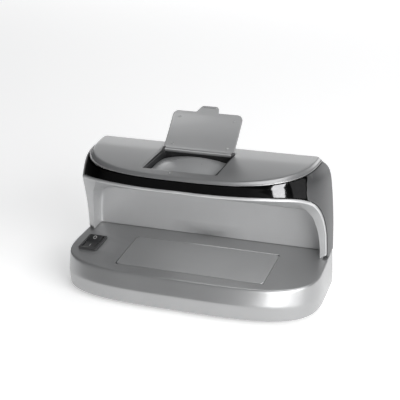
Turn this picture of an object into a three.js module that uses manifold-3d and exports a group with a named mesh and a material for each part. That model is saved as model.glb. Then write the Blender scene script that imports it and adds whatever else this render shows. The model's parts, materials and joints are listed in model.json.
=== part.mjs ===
// Counter-top banknote detector: a tray base, an overhanging lamp head with a glossy
// visor, a magnifier under a hinged lid, and the lamps and electrics inside.
// Millimetres. X to the user's right, -Y towards the user, +Z up. While building, Y = 0 is the
// plane of the back; at the end the origin moves under the middle of the bounding box.
import * as THREE from 'three';
import Module from 'manifold-3d';
import { mergeVertices } from 'three/addons/utils/BufferGeometryUtils.js';

const wasm = await Module();
wasm.setup();

// ---- Driving dimensions ----------------------------------------------------------------
const GAP = 0.3; // between pieces that touch
const WALL = 2.4; // moulded wall thickness
const FOOT_HEIGHT = 2.7;
const BASE_BOTTOM = 3.0; // height of the base's lower edge
const BREAK_HEIGHT = 14; // where the front band turns into the sloping chin
const BASE_HALF_WIDTH = 94.4;
const BASE_DEPTH = 79.2; // back plane to the front of the base
const BASE_CORNER_START = 30; // the base outline starts to round this far in front of the back
const BASE_SQUARENESS = 3.5; // superellipse exponent of the base outline
const BASE_FLARE = 1.6; // extra half-width towards the front
const CHIN_INSET = 5.2; // how far the tray's front edge lies behind the base's front
const TRAY_HEIGHT = 30.6; // tray surface at the back plane
const TRAY_SLOPE = 0.075; // fall of the tray towards the user, mm per mm
const HEAD_SQUARENESS = 2.85; // superellipse exponent of the head outline
const HEAD_REACH = 70.2; // back plane to the front of the visor
const HEAD_CORNER_RADIUS = 3; // upright rear corners of the head
const LIP_HEIGHT = 97.3; // bottom edge of the top cover
const TOP_HEIGHT = 100.2;
const COVER_CORNER_RADIUS = 2.4;
const LENS_CENTRE_X = -3.4;
const WELL_WIDTH = 54.6; // opening in the top cover
const WELL_BACK = -13.9;
const WELL_FRONT = -54.9;
const HINGE_Y = -16.4;
const HINGE_Z = 99.3;
const LID_LENGTH = 32.8; // hinge axis to the straight far edge
const LID_WIDTH = 54;
const LID_THICKNESS = 1.4;
const LID_OPEN_ANGLE = 137; // degrees from closed to the open stop, where it is drawn
const TUBE_LENGTH = 135; // 4 W T5 lamp, over the end caps
const TUBE_RADIUS = 7.8;
const TUBE_Y = -16;
const TUBE_Z = 78.8;
const SWITCH_X = -80.5;
const SWITCH_Y = -40.4;
const SWITCH_BEZEL = { width: 15, length: 21, height: 1.4 };
const ROCKER_REST_TILT = 9; // degrees, front half pressed
const INLET_X = 62;
const INLET_Z = 17;

// Half-width and reach of the head at each height, and how far its back leans in.
const HEAD_SECTIONS = [
  { z: 52, halfWidth: 94.2, reach: HEAD_REACH, back: 0 },
  { z: 67, halfWidth: 93.5, reach: HEAD_REACH, back: 0 },
  { z: 79, halfWidth: 92.6, reach: HEAD_REACH, back: 0 },
  { z: 88, halfWidth: 91.4, reach: HEAD_REACH - 0.8, back: 0 },
  { z: 93.5, halfWidth: 89.4, reach: HEAD_REACH - 1.1, back: 0.4 },
  { z: LIP_HEIGHT - GAP, halfWidth: 86, reach: HEAD_REACH - 1.2, back: 1.6 },
];
// Side view of the head's lower edge, from the tray up and forward: [distance from back, height].
const EDGE_PROFILE = [
  [17.4, 20], [17.2, 38], [18.6, 50], [21.9, 60], [26, 68], [30.5, 74],
  [37.3, 80], [46, 84.6], [57, 88], [67, 89.8], [82, 90.8],
];
// The joint between visor and rear housing, bottom to top: [distance from back, height].
const VISOR_JOINT = [[41, 20], [40.4, 86], [37.6, 93], [31.5, 99]];
const RIBBON_PROUD = 2.4; // the liner's edge stands this far out of the housing's edge
const RIBBON_INSET = 0.6; // and this far inside the housing's outer face
// Roof of the bill bay, back to front: [distance from back, height, inset of side and back].
const BAY_ROOF = [
  [7.5, 57, 5], [9, 60, 2], [13, 62.2, 0], [20, 66, 0], [28, 71.5, 0],
  [38, 79.3, 0], [50, 84, 0], [60, 86.3, 0], [70, 87.4, 0], [84, 88, 0],
];
const BAY_CORNER_RADIUS = 10;

// ---- Materials -------------------------------------------------------------------------
const finish = (color, roughness, metalness = 0) =>
  new THREE.MeshStandardMaterial({ color, roughness, metalness });
const MATERIALS = {
  silver: () => finish(0xb4b5b6, 0.4, 0.35),
  lightSilver: () => finish(0xc9cacb, 0.42, 0.3),
  housingGrey: () => finish(0x85878a, 0.5, 0.2),
  glossBlack: () => finish(0x0b0b0c, 0.08),
  satinBlack: () => finish(0x161617, 0.38),
  lens: () => finish(0xaab0b3, 0.05),
  diffuser: () => finish(0xeef0ee, 0.5),
  steel: () => finish(0xb9bbbd, 0.3, 1),
  aluminium: () => finish(0xd4d6d8, 0.25, 1),
  brass: () => finish(0xc8a860, 0.3, 1),
  rubber: () => finish(0x1b1b1c, 0.85),
  board: () => finish(0x1f5a38, 0.5),
  ceramic: () => finish(0xe8e8e4, 0.4),
  lampGlass: () => finish(0x2a2440, 0.12),
  wire: () => finish(0xd8d8d2, 0.5),
};

// ---- Solids ----------------------------------------------------------------------------
function toSolid(geometry) {
  let bare = geometry.clone();
  bare.deleteAttribute('normal');
  bare.deleteAttribute('uv');
  bare = mergeVertices(bare, 1e-4);
  return new wasm.Manifold(new wasm.Mesh({
    numProp: 3,
    vertProperties: Float32Array.from(bare.attributes.position.array),
    triVerts: Uint32Array.from(bare.index.array),
  }));
}

function toGeometry(solid) {
  const { vertProperties, triVerts } = solid.getMesh();
  const geometry = new THREE.BufferGeometry();
  geometry.setAttribute('position', new THREE.BufferAttribute(vertProperties, 3));
  geometry.setIndex(new THREE.BufferAttribute(triVerts, 1));
  geometry.computeVertexNormals();
  return geometry;
}

function piece(name, solid, material) {
  const mesh = new THREE.Mesh(toGeometry(solid), material);
  mesh.name = name;
  return mesh;
}

// A closed solid through rings of equal point count, capped at both ends.
function loft(rings, flatAxes) {
  const count = rings[0].length;
  const positions = rings.flat().flatMap((p) => [p.x, p.y, p.z]);
  const index = [];
  for (let r = 0; r < rings.length - 1; r++) {
    for (let k = 0; k < count; k++) {
      const a = r * count + k;
      const b = r * count + ((k + 1) % count);
      index.push(a, b, b + count, a, b + count, a + count);
    }
  }
  const flat = (ring) => ring.map((p) => new THREE.Vector2(p[flatAxes[0]], p[flatAxes[1]]));
  const last = (rings.length - 1) * count;
  const turnsLeft = THREE.ShapeUtils.area(flat(rings[0])) > 0;
  for (const [ring, offset, up] of [[rings[0], 0, false], [rings.at(-1), last, true]]) {
    for (const [a, b, c] of THREE.ShapeUtils.triangulateShape(flat(ring), [])) {
      const asDrawn = THREE.ShapeUtils.area([a, b, c].map((i) => flat(ring)[i])) > 0;
      const keep = asDrawn === (up === turnsLeft);
      index.push(a + offset, (keep ? b : c) + offset, (keep ? c : b) + offset);
    }
  }
  const geometry = new THREE.BufferGeometry();
  geometry.setAttribute('position', new THREE.Float32BufferAttribute(positions, 3));
  geometry.setIndex(index);
  if (signedVolume(geometry) < 0) {
    for (let i = 0; i < index.length; i += 3) [index[i], index[i + 1]] = [index[i + 1], index[i]];
    geometry.setIndex(index);
  }
  return toSolid(geometry);
}

function signedVolume(geometry) {
  const position = geometry.attributes.position;
  const [a, b, c] = [new THREE.Vector3(), new THREE.Vector3(), new THREE.Vector3()];
  let volume = 0;
  for (let i = 0; i < geometry.index.count; i += 3) {
    a.fromBufferAttribute(position, geometry.index.getX(i));
    b.fromBufferAttribute(position, geometry.index.getX(i + 1));
    c.fromBufferAttribute(position, geometry.index.getX(i + 2));
    volume += a.dot(b.cross(c)) / 6;
  }
  return volume;
}

function box(x0, x1, y0, y1, z0, z1) {
  const geometry = new THREE.BoxGeometry(x1 - x0, y1 - y0, z1 - z0);
  geometry.translate((x0 + x1) / 2, (y0 + y1) / 2, (z0 + z1) / 2);
  return toSolid(geometry);
}

const TURN_TO = {
  x: new THREE.Matrix4().makeRotationZ(-Math.PI / 2),
  y: new THREE.Matrix4(),
  z: new THREE.Matrix4().makeRotationX(Math.PI / 2),
};

function cylinder(axis, radius, from, to, centre, sides = 16, farRadius = radius) {
  const geometry = new THREE.CylinderGeometry(farRadius, radius, to - from, sides);
  geometry.applyMatrix4(TURN_TO[axis]);
  const middle = (from + to) / 2;
  const place = { x: [middle, ...centre], y: [centre[0], middle, centre[1]], z: [...centre, middle] };
  geometry.translate(...place[axis]);
  return toSolid(geometry);
}

// A polygon drawn in the side view, [y, z], pushed through from x0 to x1.
function sidePrism(points, x0, x1) {
  const shape = new THREE.Shape(points.map(([y, z]) => new THREE.Vector2(y, z)));
  const geometry = new THREE.ExtrudeGeometry(shape, { depth: x1 - x0, bevelEnabled: false });
  const sideView = new THREE.Matrix4().makeBasis(
    new THREE.Vector3(0, 1, 0), new THREE.Vector3(0, 0, 1), new THREE.Vector3(1, 0, 0));
  geometry.applyMatrix4(sideView);
  geometry.translate(x0, 0, 0);
  return toSolid(geometry);
}

// A polygon drawn in plan, [x, y], pushed up from z0 to z1.
function planPrism(points, z0, z1) {
  const shape = new THREE.Shape(points.map(([x, y]) => new THREE.Vector2(x, y)));
  const geometry = new THREE.ExtrudeGeometry(shape, { depth: z1 - z0, bevelEnabled: false });
  geometry.translate(0, 0, z0);
  return toSolid(geometry);
}

function roundedRectangle(width, length, radius, x = 0, y = 0, steps = 4) {
  const points = [];
  for (const [sx, sy, start] of [[1, 1, 0], [-1, 1, 90], [-1, -1, 180], [1, -1, 270]]) {
    for (let i = 0; i <= steps; i++) {
      const angle = THREE.MathUtils.degToRad(start + (90 * i) / steps);
      points.push([
        x + sx * (width / 2 - radius) + radius * Math.cos(angle),
        y + sy * (length / 2 - radius) + radius * Math.sin(angle),
      ]);
    }
  }
  return points;
}

const joined = (solids) => solids.reduce((whole, next) => whole.add(next));

// ---- Shared outlines -------------------------------------------------------------------
// Plan outline that is flat at the back, straight at the sides and a superellipse in front.
function planOutline({
  halfWidth, reach, back = 0, start = 0, squareness, cornerRadius = 5, flare = 0,
}) {
  const cornerSteps = 3;
  const frontSteps = 13;
  const right = [];
  for (let i = 0; i <= cornerSteps; i++) {
    const angle = (Math.PI / 2) * (1 - i / cornerSteps);
    right.push([
      halfWidth - cornerRadius * (1 - Math.cos(angle)),
      -back - cornerRadius * (1 - Math.sin(angle)),
    ]);
  }
  const rearmost = Math.max(start, back + cornerRadius + 2);
  const firstAngle = Math.asin(((rearmost - start) / (reach - start)) ** (squareness / 2));
  for (let i = 0; i < frontSteps; i++) {
    const angle = firstAngle + (Math.PI / 2 - firstAngle) * (i / frontSteps);
    right.push([
      halfWidth * Math.cos(angle) ** (2 / squareness),
      -start - (reach - start) * Math.sin(angle) ** (2 / squareness),
    ]);
  }
  right.push([0, -reach]);
  const fullFlareAt = 48;
  const widen = (y) =>
    1 + (flare / halfWidth) * Math.sin((Math.PI / 2) * Math.min(1, -y / fullFlareAt));
  const wide = right.map(([x, y]) => [x * widen(y), y]);
  const left = wide.slice(0, -1).reverse().map(([x, y]) => [-x, y]);
  return [...wide, ...left];
}

const trayHeight = (y) => TRAY_HEIGHT + TRAY_SLOPE * y;

const ringAt = (outline, height) =>
  outline.map(([x, y]) => new THREE.Vector3(x, y, typeof height === 'function' ? height(y) : height));

function baseRing(height, inset, frontInset = inset, backInset = inset) {
  return ringAt(planOutline({
    halfWidth: BASE_HALF_WIDTH - inset,
    reach: BASE_DEPTH - frontInset,
    back: backInset,
    start: BASE_CORNER_START,
    squareness: BASE_SQUARENESS,
    flare: BASE_FLARE,
  }), height);
}

// The head's full outer solid, or the same solid drawn in by an inset, above the tray.
function headSolid(inset, clearance = GAP) {
  const section = ({ halfWidth, reach, back }, height) => ringAt(planOutline({
    halfWidth: halfWidth - inset,
    reach: reach - inset,
    back: back + inset,
    squareness: HEAD_SQUARENESS,
    cornerRadius: HEAD_CORNER_RADIUS,
  }), height);
  const foot = { halfWidth: 94.4, reach: HEAD_REACH, back: 0 };
  return loft([
    section(foot, (y) => trayHeight(y) + clearance),
    ...HEAD_SECTIONS.map((s) => section(s, s.z)),
  ], ['x', 'y']);
}

// Everything behind and above the head's lower edge, with that edge moved forward by a distance.
function behindEdge(forward) {
  const curve = new THREE.CatmullRomCurve3(
    EDGE_PROFILE.map(([y, z]) => new THREE.Vector3(0, -y, z)), false, 'centripetal');
  const points = curve.getPoints(22).map((p, i) => {
    const tangent = curve.getTangent(i / 22);
    return [p.y - forward * tangent.z, p.z + forward * tangent.y];
  });
  const [firstY] = points[0];
  const [lastY] = points.at(-1);
  return sidePrism([...points, [lastY, 140], [20, 140], [20, 10], [firstY, 10]], -120, 120);
}

// The bill bay: the open space over the tray, grown outwards by a distance.
function baySolid(grow) {
  const rings = BAY_ROOF.map(([distance, roof, inset]) => {
    const narrowing = THREE.MathUtils.clamp((headHalfWidthAt(distance) - 7) / 84.6, 0.35, 1);
    const radius = BAY_CORNER_RADIUS;
    const top = roof + grow;
    const wall = (z) => (88.8 - 0.0042 * Math.max(0, z - 30) ** 1.9 - inset) * narrowing + grow;
    const side = [[wall(30), 8], [wall(30), 30], [wall(45), 45]];
    const centreX = wall(top - radius) - radius;
    for (let i = 0; i <= 5; i++) {
      const angle = (Math.PI / 2) * (i / 5);
      side.push([centreX + radius * Math.cos(angle), top - radius + radius * Math.sin(angle)]);
    }
    const whole = [...side, ...side.slice().reverse().map(([x, z]) => [-x, z])];
    return whole.map(([x, z]) => new THREE.Vector3(x, -distance, z));
  });
  rings[0].forEach((p) => { p.y += grow; });
  return loft(rings, ['x', 'z']);
}

function headHalfWidthAt(distance) {
  const share = Math.min(1, distance / (HEAD_REACH + 2));
  return 92.5 * (1 - share ** HEAD_SQUARENESS) ** (1 / HEAD_SQUARENESS);
}

// Places a solid drawn on a level tray (local y = 0 at the back plane) onto the sloping tray.
const trayMatrix = new THREE.Matrix4()
  .makeTranslation(0, 0, TRAY_HEIGHT)
  .multiply(new THREE.Matrix4().makeRotationX(Math.atan(TRAY_SLOPE)));
const onTray = (solid) => solid.transform(trayMatrix.elements);

// ---- Base ------------------------------------------------------------------------------
const WINDOW = { width: 112, length: 42, x: 4, y: -43, thickness: 2, flange: 3 };
const SCREW_SPOTS = [[-66, -14], [42, -14], [-64, -52], [69, -50]];
const FOOT_SPOTS = [[-80, -13], [80, -13], [-52, -58], [56, -58]];
const WIRE_X = 80;

function switchOpening() {
  const { width, length } = SWITCH_BEZEL;
  return onTray(box(
    SWITCH_X - width / 2 + 0.8, SWITCH_X + width / 2 - 0.8,
    SWITCH_Y - length / 2 + 0.8, SWITCH_Y + length / 2 - 0.8, -20, 6));
}

function baseShell() {
  const outer = loft([
    baseRing(BASE_BOTTOM, 1),
    baseRing(BASE_BOTTOM + 1.4, 0),
    baseRing(BREAK_HEIGHT, -0.3, -0.3, 0),
    baseRing((y) => trayHeight(y) - 0.8, 0.2, CHIN_INSET - 0.9, 0),
    baseRing((y) => trayHeight(y), 1, CHIN_INSET, 0.8),
  ], ['x', 'y']);
  const inner = loft([
    baseRing(BASE_BOTTOM - 2, WALL),
    baseRing(BREAK_HEIGHT, WALL),
    baseRing((y) => trayHeight(y) - WALL, WALL + 0.8, CHIN_INSET + WALL, WALL),
  ], ['x', 'y']);
  const window = onTray(box(
    WINDOW.x - WINDOW.width / 2, WINDOW.x + WINDOW.width / 2,
    WINDOW.y - WINDOW.length / 2, WINDOW.y + WINDOW.length / 2, -10, 6));
  const wirePassage = cylinder('z', 1.7, 20, 40, [WIRE_X, -4.2], 10);
  const inletHole = box(INLET_X - 10.5, INLET_X + 10.5, -6, 6, INLET_Z - 6.5, INLET_Z + 6.5);
  let shell = outer.subtract(inner);
  for (const [x, y] of SCREW_SPOTS) {
    const top = trayHeight(y) - 1.2;
    shell = shell.add(cylinder('z', 3.6, BASE_BOTTOM + 2.6, top, [x, y], 12));
  }
  for (const [x, y] of SCREW_SPOTS) {
    shell = shell.subtract(cylinder('z', 1.6, BASE_BOTTOM, 19, [x, y], 10));
  }
  for (const cut of [window, switchOpening(), wirePassage, inletHole]) shell = shell.subtract(cut);
  return piece('base_shell', shell, MATERIALS.silver());
}

function bottomPlate() {
  let plate = loft([
    baseRing(BASE_BOTTOM, WALL + GAP),
    baseRing(BASE_BOTTOM + 2.2, WALL + GAP),
  ], ['x', 'y']);
  for (const [x, y] of SCREW_SPOTS) {
    plate = plate.subtract(cylinder('z', 3.6, BASE_BOTTOM - 1, BASE_BOTTOM + 1.4, [x, y], 14));
    plate = plate.subtract(cylinder('z', 1.7, BASE_BOTTOM, BASE_BOTTOM + 4, [x, y], 10));
  }
  return piece('bottom_plate', plate, MATERIALS.satinBlack());
}

function foot(name, [x, y]) {
  const solid = cylinder('z', 6, 0, FOOT_HEIGHT, [x, y], 20, 6.6);
  return piece(name, solid, MATERIALS.rubber());
}

function bottomScrew(name, [x, y]) {
  const head = cylinder('z', 2.9, BASE_BOTTOM + 0.1, BASE_BOTTOM + 1.1, [x, y], 14, 3.1);
  const shank = cylinder('z', 1.3, BASE_BOTTOM + 1, 17, [x, y], 10);
  const slot = box(x - 2.2, x + 2.2, y - 0.35, y + 0.35, BASE_BOTTOM, BASE_BOTTOM + 0.6)
    .add(box(x - 0.35, x + 0.35, y - 2.2, y + 2.2, BASE_BOTTOM, BASE_BOTTOM + 0.6));
  return piece(name, head.add(shank).subtract(slot), MATERIALS.steel());
}

function watermarkWindow() {
  const { width, length, x, y, thickness, flange } = WINDOW;
  const outline = roundedRectangle(width - 2 * GAP, length - 2 * GAP, 0.6, x, y, 1);
  const pane = planPrism(outline, -thickness - 1.2, 0);
  const rim = box(x - width / 2 - flange, x + width / 2 + flange,
    y - length / 2 - flange, y + length / 2 + flange, -WALL - GAP - 1.2, -WALL - GAP);
  return piece('watermark_window', onTray(pane.add(rim)), MATERIALS.diffuser());
}

function watermarkBoard() {
  const { x, y, width, length } = WINDOW;
  const top = -9;
  let board = box(
    x - width / 2 + 4, x + width / 2 - 4, y - length / 2 + 6, y + length / 2 - 6, top - 1.6, top);
  for (let column = 0; column < 6; column++) {
    for (const row of [-8, 8]) {
      const ledX = x + (column - 2.5) * 17;
      board = board.add(box(ledX - 1.8, ledX + 1.8, y + row - 1.8, y + row + 1.8, top - 0.1, top + 1));
    }
  }
  return piece('watermark_light_board', onTray(board), MATERIALS.board());
}

function electronics() {
  const floor = BASE_BOTTOM + 2.2 + GAP;
  const board = box(-56, 38, -62, -22, floor + 2.4, floor + 4);
  const legs = [[-52, -58], [34, -58], [-52, -26], [34, -26]].map(
    ([x, y]) => cylinder('z', 1.8, floor, floor + 2.5, [x, y], 8));
  const transformer = box(8, 34, -20, -8, floor, floor + 15);
  const capacitor = cylinder('z', 4, floor + 4 + GAP, floor + 11, [-46, -29], 14);
  const chip = box(-30, -12, -32, -24.5, floor + 4 + GAP, floor + 7);
  return [
    piece('control_board', joined([board, ...legs]), MATERIALS.board()),
    piece('ballast_transformer', transformer, MATERIALS.steel()),
    piece('smoothing_capacitor', capacitor, MATERIALS.satinBlack()),
    piece('driver_chip', chip, MATERIALS.satinBlack()),
  ];
}

function powerInlet() {
  const flange = box(INLET_X - 12.5, INLET_X + 12.5, GAP, 1.6, INLET_Z - 8.5, INLET_Z + 8.5);
  const body = box(INLET_X - 10.2, INLET_X + 10.2, -16, 1, INLET_Z - 6.2, INLET_Z + 6.2);
  const socket = planPrism(roundedRectangle(15.4, 8.4, 4, 0, 0, 4), -12, 4)
    .transform(new THREE.Matrix4().makeRotationX(Math.PI / 2).elements)
    .transform(new THREE.Matrix4().makeTranslation(INLET_X, -8, INLET_Z).elements);
  let inlet = flange.add(body).subtract(socket);
  const pins = [-4.3, 4.3].map((offset) => {
    inlet = inlet.subtract(cylinder('y', 1.5, -20, -10, [INLET_X + offset, INLET_Z], 10));
    return cylinder('y', 1.15, -19, -2, [INLET_X + offset, INLET_Z], 10);
  });
  return [
    piece('power_inlet', inlet, MATERIALS.satinBlack()),
    piece('inlet_pin_left', pins[0], MATERIALS.brass()),
    piece('inlet_pin_right', pins[1], MATERIALS.brass()),
  ];
}

// ---- Rocker switch ---------------------------------------------------------------------
const rockerTilt = new THREE.Matrix4()
  .makeTranslation(0, SWITCH_Y, 0)
  .multiply(new THREE.Matrix4().makeRotationX(THREE.MathUtils.degToRad(ROCKER_REST_TILT)))
  .multiply(new THREE.Matrix4().makeTranslation(0, -SWITCH_Y, 0));

function rockerSwitch() {
  const { width, length, height } = SWITCH_BEZEL;
  const [x, y] = [SWITCH_X, SWITCH_Y];
  const bezel = planPrism(roundedRectangle(width, length, 1, x, y, 2), GAP, height);
  const body = box(
    x - width / 2 + 1.1, x + width / 2 - 1.1, y - length / 2 + 1.1, y + length / 2 - 1.1, -12, 0.6);
  const pocket = box(x - 5.3, x + 5.3, y - 8.3, y + 8.3, -7, 4);
  const pivotBore = cylinder('x', 1.1, x - 6.6, x + 6.6, [y, 0], 10);
  let housing = bezel.add(body).subtract(pocket).subtract(pivotBore);
  const terminals = [-6, 0, 6].map((offset, i) => {
    housing = housing.subtract(box(x - 2.7, x + 2.7, y + offset - 0.7, y + offset + 0.7, -14, -5));
    const blade = box(x - 2.4, x + 2.4, y + offset - 0.4, y + offset + 0.4, -16.5, -8.6);
    return piece(`switch_terminal_${i + 1}`, onTray(blade), MATERIALS.brass());
  });
  const profile = [
    [-7.4, -0.6], [-4.6, -3.2], [-1.4, -4.2], [1.4, -4.2], [4.6, -3.2], [7.4, -0.6],
    [7.6, 2.3], [4, 1.6], [0, 1.3], [-4, 1.6], [-7.6, 2.3],
  ];
  const rocker = sidePrism(profile.map(([py, pz]) => [y + py, pz]), x - 5, x + 5)
    .subtract(cylinder('x', 1.1, x - 6, x + 6, [y, 0], 10))
    .transform(rockerTilt.elements);
  const pin = cylinder('x', 0.75, x - 6.3, x + 6.3, [y, 0], 10);
  return [
    piece('switch_housing', onTray(housing), MATERIALS.satinBlack()),
    piece('switch_rocker', onTray(rocker), MATERIALS.satinBlack()),
    piece('rocker_pivot_pin', onTray(pin), MATERIALS.steel()),
    ...terminals,
  ];
}

// ---- Head ------------------------------------------------------------------------------
// Everything in front of the visor joint, with the joint moved forward by a distance.
function inFrontOfJoint(forward) {
  const joint = VISOR_JOINT.map(([distance, z]) => [-distance - forward, z]);
  const [bottom, top] = [joint[0][1], joint.at(-1)[1]];
  return sidePrism([...joint, [-120, top], [-120, bottom]], -120, 120);
}

function housingSkin() {
  return headSolid(0).subtract(headSolid(WALL, -4)).intersect(behindEdge(0));
}

function rearHousing() {
  let housing = housingSkin().subtract(inFrontOfJoint(-GAP / 2));
  for (let i = 0; i < 9; i++) {
    const x = (i - 4) * 9;
    housing = housing.subtract(box(x - 1.3, x + 1.3, -5, 2, 70, 86));
  }
  return piece('rear_housing', housing, MATERIALS.housingGrey());
}

function visorBand() {
  const band = housingSkin().intersect(inFrontOfJoint(GAP / 2));
  return piece('visor_band', band, MATERIALS.glossBlack());
}

const VIEW_APERTURE = { x0: -34, x1: 27, y0: -57, y1: -34 };
const LAMP_SLOT = { halfWidth: 62, from: 11.5, to: 23.5 };

function bayLiner() {
  const inside = headSolid(WALL + GAP).intersect(behindEdge(RIBBON_PROUD));
  const inHousing = inside.subtract(behindEdge(-0.2));
  const overHousingEdge = headSolid(RIBBON_INSET).intersect(behindEdge(RIBBON_PROUD))
    .subtract(behindEdge(GAP));
  const edgeRibbon = inHousing.add(overHousingEdge);
  const sheet = baySolid(2).intersect(inside);
  const { x0, x1, y0, y1 } = VIEW_APERTURE;
  const { halfWidth, from, to } = LAMP_SLOT;
  const liner = edgeRibbon.add(sheet)
    .subtract(baySolid(0))
    .subtract(box(x0, x1, y0, y1, 60, 140))
    .subtract(box(-halfWidth, halfWidth, -to, -from, 50, 140));
  return piece('bay_liner', liner, MATERIALS.lightSilver());
}

function topCover() {
  const ring = (inset, back, height) => ringAt(planOutline({
    halfWidth: 85.2 - inset,
    reach: HEAD_REACH - 1.3 - inset,
    back,
    squareness: HEAD_SQUARENESS,
    cornerRadius: COVER_CORNER_RADIUS,
  }), height);
  const outer = loft([
    ring(0, 1.9, LIP_HEIGHT),
    ring(0.4, 2.1, LIP_HEIGHT + 0.9),
    ring(4.5, 3, TOP_HEIGHT - 0.5),
    ring(7.4, 4.4, TOP_HEIGHT),
  ], ['x', 'y']);
  const underside = loft([
    ring(3.6, 6.4, LIP_HEIGHT - 2),
    ring(3.6, 6.4, LIP_HEIGHT + 0.2),
    ring(5.6, 8, LIP_HEIGHT + 0.7),
  ], ['x', 'y']);
  const well = box(LENS_CENTRE_X - WELL_WIDTH / 2, LENS_CENTRE_X + WELL_WIDTH / 2,
    WELL_FRONT, WELL_BACK, 80, 120);
  return piece('top_cover', outer.subtract(underside).subtract(well), MATERIALS.silver());
}

const FRAME = {
  x0: LENS_CENTRE_X - WELL_WIDTH / 2 + GAP,
  x1: LENS_CENTRE_X + WELL_WIDTH / 2 - GAP,
  y0: WELL_FRONT + GAP,
  y1: WELL_BACK - GAP,
  bottom: 91.6,
  ledge: 93,
  top: 98.2,
  wall: 1.2,
};

function lensFrame() {
  const { x0, x1, y0, y1, bottom, ledge, top, wall } = FRAME;
  const block = box(x0, x1, y0, y1, bottom, top);
  const room = box(x0 + wall, x1 - wall, y0 + wall, y1 - wall, ledge, 110);
  const sight = box(x0 + 4, x1 - 4, y0 + 4, y1 - 6, 80, 110);
  let frame = block.subtract(room).subtract(sight);
  for (const [inner, outer] of [[x0 + 1.3, x0], [x1, x1 - 1.3]]) {
    const ear = box(outer, inner, HINGE_Y - 1.6, HINGE_Y + 1.6, top - 1, HINGE_Z + 1.4);
    frame = frame.add(ear);
  }
  frame = frame.subtract(cylinder('x', 0.95, x0 - 1, x1 + 1, [HINGE_Y, HINGE_Z], 10));
  frame = frame.subtract(box(x0 + 1.3, x1 - 1.3, y1 - wall - 0.2, y1 + 1, 97.2, 110));
  return piece('lens_frame', frame, MATERIALS.satinBlack());
}

function magnifierLens() {
  const { x0, x1, y0, y1, ledge, wall } = FRAME;
  const margin = wall + GAP;
  const slab = box(x0 + margin, x1 - margin, y0 + margin, HINGE_Y - 2, ledge + GAP, TOP_HEIGHT);
  const domeRadius = 96;
  const domeTop = 98.1;
  const dome = new THREE.SphereGeometry(domeRadius, 96, 48);
  dome.rotateX(Math.PI / 2);
  dome.translate(LENS_CENTRE_X, (y0 + y1) / 2 - 1, domeTop - domeRadius);
  const lens = slab.intersect(toSolid(dome));
  return piece('magnifier_lens', lens, MATERIALS.lens());
}

// The lid is drawn closed, with the hinge axis through its local origin.
function lidOutline() {
  const half = LID_WIDTH / 2;
  const corner = 4.2;
  const arc = Array.from({ length: 6 }, (_, i) => {
    const angle = (Math.PI / 2) * (i / 5);
    return [half - corner * (1 - Math.cos(angle)), -LID_LENGTH + corner * (1 - Math.sin(angle))];
  });
  const tab = [
    [-9.2, 0], [-6.4, -4.3], [-5, -5.4], [5.6, -5.4], [7.2, -4.3], [8, 0],
  ].map(([x, y]) => [x, y - LID_LENGTH]);
  const leftArc = arc.map(([x, y]) => [-x, y]);
  return [[-half, -2.2], ...leftArc, ...tab, ...arc.reverse(), [half, -2.2]];
}

function inspectionLid() {
  const half = LID_WIDTH / 2;
  const plate = planPrism(lidOutline(), -LID_THICKNESS / 2, LID_THICKNESS / 2);
  const barrelHalf = (FRAME.x1 - FRAME.x0) / 2 - 1.3 - GAP;
  const web = box(-barrelHalf, barrelHalf, -3, -0.8, -LID_THICKNESS / 2, LID_THICKNESS / 2);
  const barrel = cylinder('x', 1.5, -barrelHalf, barrelHalf, [0, 0], 14);
  const bore = cylinder('x', 0.95, -half, half, [0, 0], 10);
  const grip = box(-5.2, 5.8, -LID_LENGTH - 4.6, -LID_LENGTH - 3.8, 0, LID_THICKNESS / 2 + 0.5);
  const pegs = [-1, 1].flatMap((side) => [-6.5, -LID_LENGTH + 5].map(
    (y) => cylinder('z', 0.7, -LID_THICKNESS / 2 - 0.6, 0, [side * (half - 6), y], 8)));
  const lid = joined([plate, web, barrel, grip, ...pegs]).subtract(bore);
  const mesh = piece('inspection_lid', lid, MATERIALS.silver());
  const hinge = new THREE.Group();
  hinge.position.set(LENS_CENTRE_X, HINGE_Y, HINGE_Z);
  hinge.rotation.x = -THREE.MathUtils.degToRad(LID_OPEN_ANGLE);
  hinge.add(mesh);
  return hinge;
}

function lidHingePin() {
  const pin = cylinder('x', 0.65, FRAME.x0 + 0.1, FRAME.x1 - 0.1, [HINGE_Y, HINGE_Z], 10);
  return piece('lid_hinge_pin', pin, MATERIALS.steel());
}

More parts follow.
